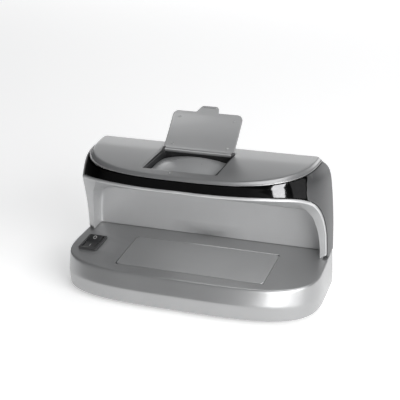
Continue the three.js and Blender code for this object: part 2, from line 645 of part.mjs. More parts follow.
// ---- Lamp ------------------------------------------------------------------------------
function lampUnit() {
  const centre = [TUBE_Y, TUBE_Z];
  const end = TUBE_LENGTH / 2;
  const capLength = 8;
  const glass = cylinder('x', TUBE_RADIUS, -end + capLength + GAP, end - capLength - GAP, centre, 18);
  const pieces = [piece('uv_tube', glass, MATERIALS.lampGlass())];
  for (const [side, label] of [[-1, 'left'], [1, 'right']]) {
    const span = (a, b) => [Math.min(side * a, side * b), Math.max(side * a, side * b)];
    const cap = cylinder('x', TUBE_RADIUS + 0.2, ...span(end - capLength, end), centre, 18);
    const pins = [-2.4, 2.4].map(
      (offset) => cylinder('x', 1.1, ...span(end - 1, end + 6), [TUBE_Y, TUBE_Z + offset], 8));
    pieces.push(piece(`tube_cap_${label}`, joined([cap, ...pins]), MATERIALS.aluminium()));
    const pinSlot = box(
      ...span(end - 1, end + 6.5), TUBE_Y - 1.5, TUBE_Y + 1.5, TUBE_Z - 12, TUBE_Z + 4);
    const holder = box(
      ...span(end + GAP, end + 9), TUBE_Y - 7, TUBE_Y + 7, TUBE_Z - 7.4, TUBE_Z + 12,
    ).subtract(pinSlot);
    pieces.push(piece(`lamp_holder_${label}`, holder, MATERIALS.ceramic()));
  }
  const arc = [];
  for (const [radius, steps] of [[10, [...Array(13).keys()]], [10.7, [...Array(13).keys()].reverse()]]) {
    for (const i of steps) {
      const angle = THREE.MathUtils.degToRad(5 + 175 * (i / 12));
      arc.push([TUBE_Y + radius * Math.cos(angle), TUBE_Z + radius * Math.sin(angle)]);
    }
  }
  const reflector = sidePrism(arc, -end + 1, end - 1);
  pieces.push(piece('reflector', reflector, MATERIALS.aluminium()));
  return pieces;
}

// A clear pane that lies on the liner's sloping roof, over the lamp slot.
function lampWindow() {
  const { halfWidth, from, to } = LAMP_SLOT;
  const roofAt = (distance) => {
    const next = BAY_ROOF.findIndex(([d]) => d > distance);
    const [a, b] = [BAY_ROOF[next - 1], BAY_ROOF[next]];
    return a[1] + ((b[1] - a[1]) * (distance - a[0])) / (b[0] - a[0]);
  };
  const rise = 2 + 0.7;
  const [near, far] = [to + 1.8, from - 1.2];
  const pane = sidePrism([
    [-near, roofAt(near) + rise], [-far, roofAt(far) + rise + 0.5],
    [-far, roofAt(far) + rise + 2], [-near, roofAt(near) + rise + 1.5],
  ], -halfWidth - 3, halfWidth + 3);
  return piece('lamp_window', pane, MATERIALS.lens());
}

function wireLoom() {
  const path = new THREE.CatmullRomCurve3([
    [WIRE_X - 2, -24, 9], [WIRE_X - 1, -12, 11], [WIRE_X, -5, 18], [WIRE_X, -4.2, 27],
    [WIRE_X, -4.2, 45], [WIRE_X, -4.2, 72], [WIRE_X, -6, 84], [WIRE_X - 2, -10, 92.6], [73, -16, 92.8],
  ].map((p) => new THREE.Vector3(...p)), false, 'centripetal');
  const section = new THREE.Shape(
    Array.from({ length: 8 }, (_, i) => new THREE.Vector2(
      1.1 * Math.cos((i * Math.PI) / 4), 1.1 * Math.sin((i * Math.PI) / 4))));
  const tube = new THREE.ExtrudeGeometry(section, { steps: 30, extrudePath: path, bevelEnabled: false });
  return piece('lamp_wires', toSolid(tube), MATERIALS.wire());
}

// ---- Assembly --------------------------------------------------------------------------
const detector = new THREE.Group();
detector.add(baseShell(), bottomPlate());
FOOT_SPOTS.forEach((spot, i) => detector.add(foot(`foot_${i + 1}`, spot)));
SCREW_SPOTS.forEach((spot, i) => detector.add(bottomScrew(`bottom_screw_${i + 1}`, spot)));
detector.add(watermarkWindow(), watermarkBoard(), ...electronics(), ...powerInlet());
detector.add(...rockerSwitch());
detector.add(rearHousing(), visorBand(), bayLiner(), topCover());
detector.add(lensFrame(), magnifierLens(), inspectionLid(), lidHingePin());
detector.add(...lampUnit(), lampWindow(), wireLoom());

// Put the origin on the resting surface, under the middle of the bounding box.
detector.updateMatrixWorld(true);
const bounds = new THREE.Box3().setFromObject(detector, true);
const middle = bounds.getCenter(new THREE.Vector3());
detector.position.set(-middle.x, -middle.y, -bounds.min.z);

export default detector;
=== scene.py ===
"""Looks of a counter-top banknote detector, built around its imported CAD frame.

Lengths in the tables and functions are millimetres, measured like the CAD: X to the user's
right, -Y towards the user from the plane of the back, and Z up from the resting surface.
new_object() turns them into metres in the row's frame.
"""

import json
import math

import bmesh
import bpy
from mathutils import Matrix, Vector


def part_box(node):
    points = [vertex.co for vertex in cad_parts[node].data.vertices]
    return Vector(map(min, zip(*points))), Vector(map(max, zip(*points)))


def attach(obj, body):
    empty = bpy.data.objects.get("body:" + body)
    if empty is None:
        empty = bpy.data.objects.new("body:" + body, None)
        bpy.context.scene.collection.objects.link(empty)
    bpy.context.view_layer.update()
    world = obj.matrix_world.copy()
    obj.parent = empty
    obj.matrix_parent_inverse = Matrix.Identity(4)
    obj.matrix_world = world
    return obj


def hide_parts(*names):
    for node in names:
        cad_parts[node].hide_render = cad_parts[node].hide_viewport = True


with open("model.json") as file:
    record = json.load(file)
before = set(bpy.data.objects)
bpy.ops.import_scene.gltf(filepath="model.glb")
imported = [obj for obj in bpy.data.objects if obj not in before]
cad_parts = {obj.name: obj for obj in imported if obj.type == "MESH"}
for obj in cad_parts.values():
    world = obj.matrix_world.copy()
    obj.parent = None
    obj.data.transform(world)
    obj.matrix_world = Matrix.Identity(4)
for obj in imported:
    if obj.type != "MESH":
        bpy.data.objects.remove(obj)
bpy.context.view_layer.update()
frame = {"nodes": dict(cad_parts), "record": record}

MM = 0.001
SHIFT_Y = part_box("rear_housing")[1].y / MM  # the plane of the back, in the row's frame

# ---- Dimensions, shared with the CAD unless a comment says otherwise -----------------------
GAP = 0.3
BASE_BOTTOM = 3.0
BREAK_HEIGHT = 14.0
BASE_HALF_WIDTH = 94.4
BASE_DEPTH = 79.2
BASE_CORNER_START = 30.0
BASE_SQUARENESS = 3.5
BASE_FLARE = 1.6
CHIN_INSET = 5.2
TRAY_HEIGHT = 30.6
TRAY_SLOPE = 0.075
HEAD_SQUARENESS = 2.85
HEAD_REACH = 70.2
HEAD_CORNER_RADIUS = 3.0
COVER_CORNER_RADIUS = 2.4
VISOR_JOINT = [(41, 20), (40.4, 86), (37.6, 93), (31.5, 99)]
LIP_HEIGHT = 97.3
TOP_HEIGHT = 100.2
LENS_X = -3.4
WELL_WIDTH = 54.6
WELL_BACK = -13.9
WELL_FRONT = -54.9
HINGE_Y = -16.4
HINGE_Z = 99.3
LID_LENGTH = 32.8
LID_WIDTH = 54.0
LID_THICKNESS = 1.4
LID_OPEN_ANGLE = 137
SWITCH_X = -80.5
SWITCH_Y = -40.4
ROCKER_TILT = 9  # degrees, half of the rocker's whole travel
WALL = 2.4
HEAD_SECTIONS = [  # height, half-width, reach, back; the last row is not in the CAD
    (30, 94.4, 70.2, 0), (52, 94.2, 70.2, 0), (67, 93.5, 70.2, 0), (79, 92.6, 70.2, 0),
    (88, 91.4, 69.4, 0), (93.5, 89.4, 69.1, 0.4), (97, 86, 69, 1.6), (99, 82, 68.4, 3),
]
FRONT_LEAN = [(79, 0), (88, 0.9), (93.5, 1.0), (97, 0), (99, 0)]  # height, mm inwards; looks only
EDGE_PROFILE = [
    (17.4, 20), (17.2, 38), (18.6, 50), (21.9, 60), (26, 68), (30.5, 74),
    (37.3, 80), (46, 84.6), (57, 88), (67, 89.8), (82, 90.8),
]
BAY_CORNER_RADIUS = 10.0
RIBBON_PROUD = 2.4
RIBBON_INSET = 0.6


# ---- Curves ------------------------------------------------------------------------------
def catmull(rows, x, column=0):
    """Smooth interpolation of a table of rows at x in the given column."""
    rows = sorted(rows, key=lambda row: row[column])
    if x <= rows[0][column]:
        return rows[0]
    if x >= rows[-1][column]:
        return rows[-1]
    i = next(k for k in range(len(rows) - 1) if rows[k + 1][column] >= x)
    a, b = rows[i], rows[i + 1]
    before = rows[max(0, i - 1)]
    after = rows[min(len(rows) - 1, i + 2)]
    h = b[column] - a[column]
    t = (x - a[column]) / h
    result = []
    for p0, p1, p2, p3 in zip(before, a, b, after):
        span1 = max(b[column] - before[column], 1e-6)
        span2 = max(after[column] - a[column], 1e-6)
        m1 = (p2 - p0) / span1 * h
        m2 = (p3 - p1) / span2 * h
        t2, t3 = t * t, t * t * t
        result.append(
            (2 * t3 - 3 * t2 + 1) * p1 + (t3 - 2 * t2 + t) * m1
            + (3 * t2 - 2 * t3) * p2 + (t3 - t2) * m2
        )
    return tuple(result)


def superellipse_x(half_width, reach, distance):
    """Half-width of a head-shaped outline at a distance in front of its back."""
    return half_width * max(0, 1 - (distance / reach) ** HEAD_SQUARENESS) ** (1 / HEAD_SQUARENESS)


def head_section(z):
    """Half-width, reach and back inset of the head at a height."""
    return catmull(HEAD_SECTIONS, z)[1:]


def front_lean(z, distance):
    """How far the head's side stands in towards the front, where its band is straighter."""
    share = min(1, max(0, (distance - 10) / 34))
    return catmull(FRONT_LEAN, z)[1] * share * share * (3 - 2 * share)


def edge_distance(z):
    """How far in front of the back the head's lower edge is at a height."""
    return catmull(EDGE_PROFILE[1:], z, 1)[0]


def edge_height(distance):
    """Height of the head's lower edge at a distance in front of the back."""
    return catmull(EDGE_PROFILE[2:], distance)[1]


def joint_distance(z):
    """How far in front of the back the visor's joint with the rear housing is at a height."""
    for (d0, z0), (d1, z1) in zip(VISOR_JOINT, VISOR_JOINT[1:]):
        if z <= z1:
            return d0 + (d1 - d0) * (z - z0) / (z1 - z0)
    return VISOR_JOINT[-1][0]


def tray_height(y):
    return TRAY_HEIGHT + TRAY_SLOPE * y


def resample(points, count, closed=False):
    """The same polyline with evenly spaced points."""
    path = list(points) + ([points[0]] if closed else [])
    lengths = [0.0]
    for a, b in zip(path, path[1:]):
        lengths.append(lengths[-1] + math.dist(a, b))
    steps = count if closed else count - 1
    result = []
    i = 0
    for k in range(count):
        target = lengths[-1] * k / steps
        while i < len(path) - 2 and lengths[i + 1] < target:
            i += 1
        span = lengths[i + 1] - lengths[i] or 1
        t = min(1, max(0, (target - lengths[i]) / span))
        result.append(tuple(p + (q - p) * t for p, q in zip(path[i], path[i + 1])))
    return result


def outline(half_width, reach, back, squareness, corner=5.0, start=0.0, flare=0.0, count=240):
    """A closed plan outline from the middle of the back, round by the right side."""
    half = [(0.0, -back)]
    for i in range(13):
        a = math.radians(90 * (1 - i / 12))
        half.append((
            half_width - corner + corner * math.cos(a),
            -back - corner + corner * math.sin(a),
        ))
    for i in range(1, 200):
        a = math.pi / 2 * i / 200
        x = half_width * math.cos(a) ** (2 / squareness)
        y = -start - (reach - start) * math.sin(a) ** (2 / squareness)
        if -y > back + corner + 0.5:
            half.append((x, y))
    half.append((0.0, -reach))
    wide = [
        (x * (1 + flare / half_width * math.sin(math.pi / 2 * min(1, max(0, -y) / 48))), y)
        for x, y in half
    ]
    left = [(-x, y) for x, y in wide[-2:0:-1]]
    return resample(wide + left, count, closed=True)


def rounded_rectangle(x0, x1, y0, y1, radius, count):
    """A closed rectangle with rounded corners, from the middle of its back (y1) clockwise."""
    points = [((x0 + x1) / 2, y1)]
    corners = [(x1, y1, -1, -1, 90), (x1, y0, -1, 1, 0), (x0, y0, 1, 1, -90), (x0, y1, 1, -1, -180)]
    for cx, cy, sx, sy, start in corners:
        for i in range(7):
            a = math.radians(start - 15 * i)
            points.append((
                cx + sx * radius + radius * math.cos(a),
                cy + sy * radius + radius * math.sin(a),
            ))
    return resample(points, count, closed=True)


def at_height(ring, z):
    return [(x, y, z(y) if callable(z) else z) for x, y in ring]


# ---- Mesh making ---------------------------------------------------------------------------
def linked(name, data):
    """A new object of the scene that shows some data."""
    made = bpy.data.objects.new(name, data)
    bpy.context.scene.collection.objects.link(made)
    return made


def new_object(name, vertices, faces, material, body="detector", replaces=(), slot=None):
    """A mesh piece from millimetre points, standing for CAD nodes and riding on a body."""
    mesh = bpy.data.meshes.new(name)
    mesh.from_pydata(
        [(x * MM, (y + SHIFT_Y) * MM, z * MM) for x, y, z in vertices], [], faces
    )
    mesh.validate()
    mesh.update()
    piece = linked(name, mesh)
    mesh.materials.append(material)
    tidy_normals(mesh)
    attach(piece, body)
    if replaces:
        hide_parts(*replaces)
    return piece


def tidy_normals(mesh):
    work = bmesh.new()
    work.from_mesh(mesh)
    bmesh.ops.remove_doubles(work, verts=work.verts, dist=1e-6)
    bmesh.ops.recalc_face_normals(work, faces=work.faces)
    work.to_mesh(mesh)
    work.free()


def grid_faces(rows, columns, closed=False):
    faces = []
    for r in range(rows - 1):
        for c in range(columns if closed else columns - 1):
            a = r * columns + c
            b = r * columns + (c + 1) % columns
            faces.append((a, b, b + columns, a + columns))
    return faces


def loft(rings, cap_start=False, cap_end=False, join=False):
    """Points and faces of a closed-ring loft; join also links the last ring to the first."""
    count = len(rings[0])
    rows = rings + ([rings[0]] if join else [])
    faces = grid_faces(len(rows), count, closed=True)
    if join:
        limit = len(rings) * count
        faces = [tuple(i % limit for i in face) for face in faces]
    if cap_start:
        faces.append(tuple(reversed(range(count))))
    if cap_end:
        last = (len(rings) - 1) * count
        faces.append(tuple(range(last, last + count)))
    return [p for ring in rings for p in ring], faces


def sheet_mesh(rows):
    """Points and faces of an open grid of rows."""
    return [p for row in rows for p in row], grid_faces(len(rows), len(rows[0]))


def merge(*parts):
    """Several (points, faces) pairs as one."""
    points, faces = [], []
    for new_points, new_faces in parts:
        offset = len(points)
        points += new_points
        faces += [tuple(i + offset for i in face) for face in new_faces]
    return points, faces


def prism(ring, low, high):
    """A closed solid from a plan ring between two heights."""
    return loft([at_height(ring, low), at_height(ring, high)], True, True)


def block(x0, x1, y0, y1, z0, z1):
    return prism([(x0, y0), (x1, y0), (x1, y1), (x0, y1)], z0, z1)


def rod_x(radius, x0, x1, y, z, sides=24, ease=0.0):
    """A rod along X whose ends are eased by a small chamfer."""
    profile = [(x0, radius - ease), (x0 + ease, radius), (x1 - ease, radius), (x1, radius - ease)]
    rings = [
        [
            (x, y + r * math.cos(2 * math.pi * k / sides), z + r * math.sin(2 * math.pi * k / sides))
            for k in range(sides)
        ]
        for x, r in profile
    ]
    return loft(rings, True, True)


def turned(profile, x, y, sides=40):
    """A solid of revolution about a vertical axis from (radius, height) pairs."""
    rings = [
        [
            (x + r * math.cos(2 * math.pi * k / sides), y + r * math.sin(2 * math.pi * k / sides), z)
            for k in range(sides)
        ]
        for r, z in profile
    ]
    return loft(rings, True, True)


def smooth(piece, angle=32):
    for polygon in piece.data.polygons:
        polygon.use_smooth = True
    piece.data.set_sharp_from_angle(angle=math.radians(angle))
    return piece


def modifier(piece, kind, **settings):
    made = piece.modifiers.new(kind.lower(), kind)
    for key, value in settings.items():
        setattr(made, key, value)
    return made


def ease_edges(piece, width, angle=35, segments=2):
    modifier(
        piece, "BEVEL", width=width * MM, segments=segments, limit_method="ANGLE",
        angle_limit=math.radians(angle), harden_normals=False, miter_outer="MITER_ARC",
    )
    modifier(piece, "WEIGHTED_NORMAL", weight=60, keep_sharp=True)
    return piece


def thicken(piece, thickness, offset=-1):
    modifier(piece, "SOLIDIFY", thickness=thickness * MM, offset=offset, use_even_offset=True)


def bake_modifiers(piece):
    """Applies the piece's modifiers to its mesh."""
    graph = bpy.context.evaluated_depsgraph_get()
    made = bpy.data.meshes.new_from_object(piece.evaluated_get(graph))
    old = piece.data
    piece.modifiers.clear()
    piece.data = made
    bpy.data.meshes.remove(old)
    return piece


def carve(piece, *cutters):
    """Cuts solids, given as (points, faces), out of a piece."""
    made = []
    for points, faces in cutters:
        mesh = bpy.data.meshes.new("cutter")
        mesh.from_pydata([(x * MM, (y + SHIFT_Y) * MM, z * MM) for x, y, z in points], [], faces)
        tidy_normals(mesh)
        cutter = linked("cutter", mesh)
        modifier(piece, "BOOLEAN", operation="DIFFERENCE", solver="EXACT", object=cutter)
        made.append(cutter)
    bpy.context.view_layer.update()
    bake_modifiers(piece)
    for cutter in made:
        mesh = cutter.data
        bpy.data.objects.remove(cutter)
        bpy.data.meshes.remove(mesh)
    return piece


def moved(part, matrix):
    """Points of a part under a 4 by 4 matrix, in millimetres."""
    points, faces = part
    return [tuple(matrix @ Vector(p)) for p in points], faces


TRAY_PLACE = Matrix.Translation((0, 0, TRAY_HEIGHT)) @ Matrix.Rotation(math.atan(TRAY_SLOPE), 4, "X")


def on_tray(part):
    """Places a part drawn on a level tray onto the sloping one."""
    return moved(part, TRAY_PLACE)


# ---- Materials -----------------------------------------------------------------------------
def node_material(name):
    """A new material, its node tree, its shader, and the piece's own coordinates."""
    material = bpy.data.materials.new(name)
    material.use_nodes = True
    tree = material.node_tree
    place = add(tree, "ShaderNodeTexCoord").outputs["Object"]
    return material, tree, tree.nodes["Principled BSDF"], place


def add(tree, kind, **settings):
    node = tree.nodes.new(kind)
    for key, value in settings.items():
        if key in node.inputs:
            node.inputs[key].default_value = value
        else:
            setattr(node, key, value)
    return node


def ramp(tree, source, low, high, low_colour, high_colour):
    node = tree.nodes.new("ShaderNodeValToRGB")
    node.color_ramp.elements[0].position = low
    node.color_ramp.elements[1].position = high
    node.color_ramp.elements[0].color = (*low_colour, 1)
    node.color_ramp.elements[1].color = (*high_colour, 1)
    tree.links.new(source, node.inputs["Fac"])
    return node.outputs["Color"]


def shade(colour, factor):
    return tuple(min(1, c * factor) for c in colour)


def noise(tree, place, scale, detail, roughness=0.5):
    node = add(tree, "ShaderNodeTexNoise", Scale=scale, Detail=detail, Roughness=roughness)
    tree.links.new(place, node.inputs["Vector"])
    return node.outputs["Fac"]


def stretched(tree, place, scale):
    node = add(tree, "ShaderNodeMapping", Scale=scale)
    tree.links.new(place, node.inputs["Vector"])
    return node.outputs["Vector"]


def mixed(tree, kind, first, second):
    node = add(tree, "ShaderNodeMix", data_type="RGBA", blend_type=kind)
    node.inputs["Factor"].default_value = 1.0
    tree.links.new(first, node.inputs[6])
    tree.links.new(second, node.inputs[7])
    return node.outputs[2]


def roughen(tree, shader, source, low, high):
    """Lets the roughness wander between two values."""
    node = add(tree, "ShaderNodeMapRange", **{"To Min": low, "To Max": high})
    tree.links.new(source, node.inputs["Value"])
    tree.links.new(node.outputs["Result"], shader.inputs["Roughness"])


def emboss(tree, shader, source, strength, distance=0.0001):
    node = add(tree, "ShaderNodeBump", Strength=strength, Distance=distance)
    tree.links.new(source, node.inputs["Height"])
    tree.links.new(node.outputs["Normal"], shader.inputs["Normal"])


def moulded(name, colour, roughness, metallic=0.0, grain=900.0, bump=0.03, mottle=0.05,
            wear=0.12, coat=0.0, specular=0.5, scale=35.0):
    """Painted or moulded plastic: slow mottling, fine grain, and slightly worn edges."""
    material, tree, shader, place = node_material(name)
    slow = noise(tree, place, scale, 4.0, 0.55)
    fine = noise(tree, place, grain, 2.0)
    tone = ramp(tree, slow, 0.3, 0.7, shade(colour, 1 - mottle), shade(colour, 1 + mottle))
    speck = ramp(tree, fine, 0.35, 0.65, (1 - mottle,) * 3, (1 + mottle * 0.6,) * 3)
    pointiness = add(tree, "ShaderNodeNewGeometry").outputs["Pointiness"]
    edge = ramp(tree, pointiness, 0.51, 0.58, (0, 0, 0), (wear,) * 3)
    worn = mixed(tree, "SCREEN", mixed(tree, "MULTIPLY", tone, speck), edge)
    tree.links.new(worn, shader.inputs["Base Color"])
    roughen(tree, shader, slow, roughness * 0.88, roughness * 1.14)
    emboss(tree, shader, fine, bump, 0.0002)
    shader.inputs["Metallic"].default_value = metallic
    shader.inputs["Specular IOR Level"].default_value = specular
    shader.inputs["Coat Weight"].default_value = coat
    shader.inputs["Coat Roughness"].default_value = 0.06
    return material


def polished_black(name):
    """Polished black with faint dust and scuffs, made nearly metallic to match the photo."""
    material, tree, shader, place = node_material(name)
    dust = noise(tree, place, 420.0, 5.0, 0.7)
    haze = noise(tree, place, 22.0, 3.0)
    scuff = noise(tree, stretched(tree, place, (30, 30, 900)), 1.0, 3.0, 0.65)
    clean, dusty = (0.0042, 0.0042, 0.0043), (0.0056, 0.0056, 0.0057)
    tree.links.new(ramp(tree, dust, 0.45, 0.8, clean, dusty), shader.inputs["Base Color"])
    roughen(tree, shader, haze, 0.035, 0.11)
    emboss(tree, shader, scuff, 0.02)
    shader.inputs["Metallic"].default_value = 0.97
    shader.inputs["Specular Tint"].default_value = (0.3, 0.3, 0.3, 1)
    return material


def clear_plastic(name, tint, transmission, roughness=0.04):
    """A clear moulding with faint haze and a few fine marks."""
    material, tree, shader, place = node_material(name)
    haze = noise(tree, place, 60.0, 4.0)
    marks = noise(tree, place, 700.0, 2.0)
    tone = ramp(tree, haze, 0.3, 0.7, shade(tint, 0.95), shade(tint, 1.05))
    tree.links.new(tone, shader.inputs["Base Color"])
    roughen(tree, shader, haze, roughness * 0.7, roughness * 1.6)
    emboss(tree, shader, marks, 0.01)
    shader.inputs["Transmission Weight"].default_value = transmission
    shader.inputs["IOR"].default_value = 1.49
    return material


def bare_metal(name, colour, roughness, direction=(1, 12, 12)):
    """Drawn or rolled metal with fine lines along one direction."""
    material, tree, shader, place = node_material(name)
    lines = noise(tree, stretched(tree, place, [60 * d for d in direction]), 2.0, 4.0, 0.6)
    tone = ramp(tree, lines, 0.3, 0.7, shade(colour, 0.85), shade(colour, 1.08))
    tree.links.new(tone, shader.inputs["Base Color"])
    roughen(tree, shader, lines, roughness * 0.7, roughness * 1.5)
    emboss(tree, shader, lines, 0.06)
    shader.inputs["Metallic"].default_value = 1.0
    return material


MATERIALS = {
    "silver": moulded("silver_plastic", (0.385, 0.387, 0.39), 0.36, metallic=0.75, grain=2600,
                      bump=0.02, mottle=0.025, wear=0.04, coat=0.4),
    "light_silver": moulded("light_silver_plastic", (0.495, 0.498, 0.502), 0.42, metallic=0.35,
                            grain=2600, bump=0.02, mottle=0.025, wear=0.04),
    "housing_grey": moulded("housing_grey_plastic", (0.09, 0.091, 0.093), 0.36, metallic=0.6,
                            grain=2400, bump=0.03, mottle=0.03, wear=0.04),
    "gloss_black": polished_black("gloss_black_plastic"),
    "satin_black": moulded("satin_black_plastic", (0.014, 0.014, 0.015), 0.38, grain=1500,
                           bump=0.08, mottle=0.15, wear=0.06),
    "clear_lens": clear_plastic("clear_lens_plastic", (0.36, 0.364, 0.368), 0.2, 0.26),
    "diffuser": moulded("white_diffuser", (0.4, 0.403, 0.406), 0.42, metallic=0.6, grain=3000,
                        bump=0.02, mottle=0.02, wear=0.02),
    "steel": bare_metal("plated_steel", (0.62, 0.63, 0.64), 0.28),
    "aluminium": bare_metal("pressed_aluminium", (0.78, 0.79, 0.8), 0.22),
    "brass": bare_metal("plain_brass", (0.66, 0.49, 0.2), 0.25, (12, 1, 12)),
    "rubber": moulded("black_rubber", (0.012, 0.012, 0.012), 0.8, grain=700, bump=0.2,
                      mottle=0.2, wear=0.05, specular=0.3),
    "board": moulded("circuit_board", (0.015, 0.11, 0.04), 0.42, grain=300, bump=0.05,
                     mottle=0.18, wear=0.05, scale=160),
    "ceramic": moulded("white_holder_plastic", (0.78, 0.78, 0.74), 0.35, grain=1400, bump=0.03,
                       mottle=0.03, wear=0.03),
    "lamp_glass": clear_plastic("violet_filter_glass", (0.03, 0.02, 0.06), 0.1, 0.08),
    "wire": moulded("wire_insulation", (0.7, 0.7, 0.66), 0.45, grain=900, bump=0.05,
                    mottle=0.06, wear=0.02),
}
slots = {row["node"]: row["material_slot"] for row in frame["record"]["subparts"]}
for node_name, node in frame["nodes"].items():
    node.data.materials.clear()
    node.data.materials.append(MATERIALS[slots[node_name]])


def piece_for(name, part, node_names, slot=None, body="detector"):
    """A detailed piece that stands for CAD nodes and wears their slot's material."""
    slot = slot or slots[node_names[0]]
    return new_object(name, *part, MATERIALS[slot], body, node_names, slot)


# ---- Base ----------------------------------------------------------------------------------
WINDOW = (-52, 60, -64, -22)  # opening in the tray: x0, x1, y0, y1
RING = 320


def window_ring(grow, radius, count):
    x0, x1, y0, y1 = WINDOW
    return rounded_rectangle(x0 - grow, x1 + grow, y0 - grow, y1 + grow, radius, count)


def base_ring(z, inset, front_inset=None, back_inset=None):
    front = inset if front_inset is None else front_inset
    rear = inset if back_inset is None else back_inset
    ring = outline(
        BASE_HALF_WIDTH - inset, BASE_DEPTH - front, max(0, rear), BASE_SQUARENESS,
        start=BASE_CORNER_START, flare=BASE_FLARE, count=RING,
    )
    return at_height(ring, z)


def base_shell():
    foot = [(6, WALL), (0, WALL), (0, 1.3), (0.15, 0.75), (0.6, 0.25), (1.4, 0)]
    rings = [base_ring(BASE_BOTTOM + rise, inset) for rise, inset in foot]
    rings += [
        base_ring(BASE_BOTTOM + 4, -0.12, -0.12, 0),
        base_ring(BREAK_HEIGHT - 3, -0.26, -0.26, 0),
        base_ring(BREAK_HEIGHT - 0.9, -0.3, -0.3, 0),
        base_ring(BREAK_HEIGHT, -0.28, -0.15, 0),
        base_ring(BREAK_HEIGHT + 0.9, -0.24, 0.1, 0),
    ]
    for share in (0.2, 0.4, 0.6, 0.8, 0.94):
        rings.append(base_ring(
            lambda y, s=share: BREAK_HEIGHT + 0.9 + (tray_height(y) - 1.6 - BREAK_HEIGHT) * s,
            -0.24 + 0.4 * share, 0.1 + (CHIN_INSET - 1.1) * share, 0,
        ))
    edge = [(0.7, 0.22, -0.85, 0), (0.32, 0.42, -0.6, 0.2), (0.08, 0.75, -0.25, 0.5),
            (0, 1.15, 0.15, 0.9), (0, 2.2, 1.2, 2)]  # [drop, inset, front, back]
    for drop, inset, front, back in edge:
        rings.append(base_ring(
            lambda y, d=drop: tray_height(y) - d, inset, CHIN_INSET + front, back))
    hole = window_ring(0, 1.2, RING)
    rings += [
        at_height(window_ring(0.25, 1.4, RING), tray_height),
        at_height(hole, lambda v: tray_height(v) - 0.2),
        at_height(hole, lambda v: tray_height(v) - 2.2),
    ]
    piece = piece_for("base_shell_detailed", loft(rings), ["base_shell"])
    inlet = block(51.5, 72.5, -6, 6, 10.5, 23.5)
    switch = on_tray(block(SWITCH_X - 6.7, SWITCH_X + 6.7, SWITCH_Y - 9.7, SWITCH_Y + 9.7, -20, 6))
    carve(piece, inlet, switch)
    smooth(piece, 30)
    modifier(piece, "WEIGHTED_NORMAL", weight=60, keep_sharp=True)
    return piece


def watermark_window():
    ring = window_ring(-GAP, 1, 96)
    pane = on_tray(loft([at_height(ring, -3), at_height(ring, -0.05)], True, True))
    piece = piece_for("watermark_window_pane", pane, ["watermark_window"])
    ease_edges(piece, 0.3)
    smooth(piece)


def feet():
    for i in range(1, 5):
        low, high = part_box(f"foot_{i}")
        x = (low.x + high.x) / 2 / MM
        y = (low.y + high.y) / 2 / MM - SHIFT_Y
        profile = [(0.01, 0.45), (3.4, 0.45), (3.8, 0.05), (4.0, 0.0), (5.4, 0), (5.9, 0.12),
                   (6.1, 0.5), (6.55, 2.2), (6.6, 2.6), (6.4, 2.7), (0.01, 2.7)]
        piece = piece_for(f"rubber_foot_{i}", turned(profile, x, y, 48), [f"foot_{i}"])
        smooth(piece, 40)


# ---- Rocker switch ---------------------------------------------------------------------------
ROCKER_HALF_LENGTH = 7.6


def rocker_surface(v):
    """Height of the rocker's hollow top at a distance from its middle."""
    return 1.25 + 1.05 * (abs(v) / ROCKER_HALF_LENGTH) ** 1.3


def switch_ring(half_width, half_length, radius, height, count=96):
    ring = rounded_rectangle(
        SWITCH_X - half_width, SWITCH_X + half_width,
        SWITCH_Y - half_length, SWITCH_Y + half_length, radius, count)
    return at_height(ring, height)


def switch_pieces():
    x, y = SWITCH_X, SWITCH_Y
    rings = []
    for inset, z in [(0, 0.3), (0, 1.0), (0.12, 1.28), (0.4, 1.4), (1.7, 1.4), (1.95, 1.3),
                     (2.1, 1.0), (2.15, -6.8)]:
        ring = rounded_rectangle(
            x - 7.5 + inset, x + 7.5 - inset, y - 10.5 + inset, y + 10.5 - inset,
            max(0.4, 1.1 - inset * 0.3), 96)
        rings.append(at_height(ring, z))
    bezel = on_tray(loft(rings, False, True))
    body = on_tray(loft([switch_ring(6.4, 9.4, 0.6, z, 48) for z in (-12, -7.2)], True, True))
    under = [(7.5, 10.5, 1.1, 0.3), (6.4, 9.4, 0.6, 0.3), (6.4, 9.4, 0.6, -7.2)]
    flange = on_tray(loft([switch_ring(*row) for row in under]))
    piece = piece_for("switch_bezel_and_body", merge(bezel, flange, body), ["switch_housing"])
    smooth(piece, 30)

    top = []
    for i in range(25):
        v = -ROCKER_HALF_LENGTH + 2 * ROCKER_HALF_LENGTH * i / 24
        top.append((v, rocker_surface(v)))
    under = [(7.4, -0.6), (4.6, -3.2), (1.4, -4.2), (-1.4, -4.2), (-4.6, -3.2), (-7.4, -0.6)]
    key = loft([[(x + side * 5.0, y + v, z) for v, z in top + under] for side in (-1, 1)], True, True)
    tilt = (
        Matrix.Translation((0, y, 0)) @ Matrix.Rotation(math.radians(ROCKER_TILT), 4, "X")
        @ Matrix.Translation((0, -y, 0))
    )
    rocker = piece_for(
        "switch_rocker_key", on_tray(moved(key, tilt)), ["switch_rocker"], body="rocker")
    ease_edges(rocker, 0.45, angle=25, segments=3)
    smooth(rocker, 40)

    mark_white = moulded("mark_print", (0.5, 0.5, 0.5), 0.5, grain=2000, mottle=0.05, wear=0.0)
    circle = []
    for radius, rise in ((0.95, 0.0), (1.35, 0.0), (1.35, 0.12), (0.95, 0.12)):
        turns = [2 * math.pi * k / 32 for k in range(32)]
        circle.append([
            (x + radius * math.cos(a), y + 4.6 + radius * 1.25 * math.sin(a), rise) for a in turns
        ])
    bar = block(x - 0.22, x + 0.22, y - 6.1, y - 3.3, 0, 0.12)
    points, faces = merge(loft(circle, join=True), bar)
    points = [(px, py, pz + rocker_surface(py - y) - 0.05) for px, py, pz in points]
    marks = new_object(
        "switch_marks", *on_tray(moved((points, faces), tilt)), mark_white, "rocker",
        slot="satin_black")
    smooth(marks)


